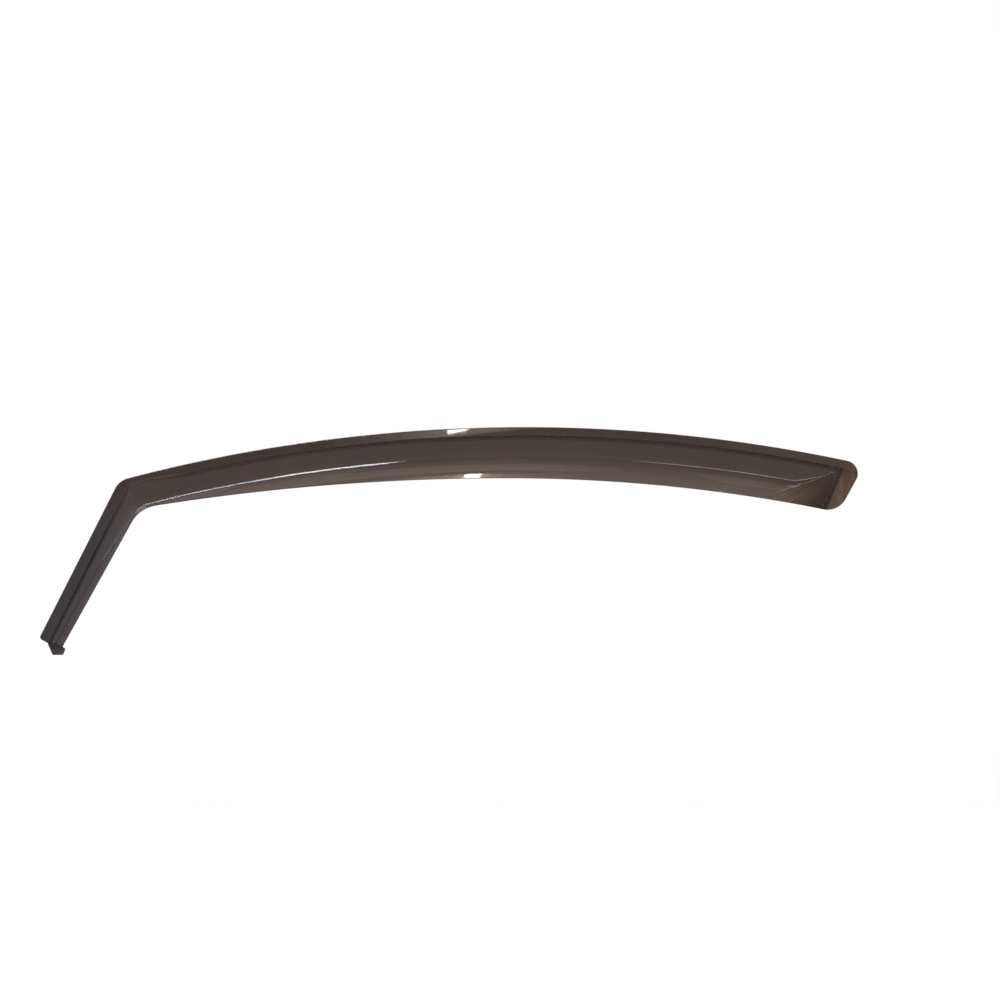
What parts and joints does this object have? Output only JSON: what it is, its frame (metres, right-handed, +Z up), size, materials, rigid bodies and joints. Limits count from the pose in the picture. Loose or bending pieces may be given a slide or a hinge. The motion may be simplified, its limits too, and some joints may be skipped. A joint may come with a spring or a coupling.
{
  "type": "window rain deflector",
  "caption": "Arched smoked visor with a front leg: its flange sits in a car door's window channel and its lip stands off the glass to shed rain while air passes.",
  "frame": {"origin": "on the glass side of the flange, half way across it, at the crown of the arch", "axes": "as fitted to a left front door: +X back along the car, +Y into the glass, +Z up"},
  "size_m": [0.9004, 0.0185, 0.2509],
  "materials": {
    "smoked_acrylic": "polished, dark smoked bronze, faintly see-through"
  },
  "bodies": {
    "root": {"deflector": "smoked_acrylic"}
  },
  "joints": []
}
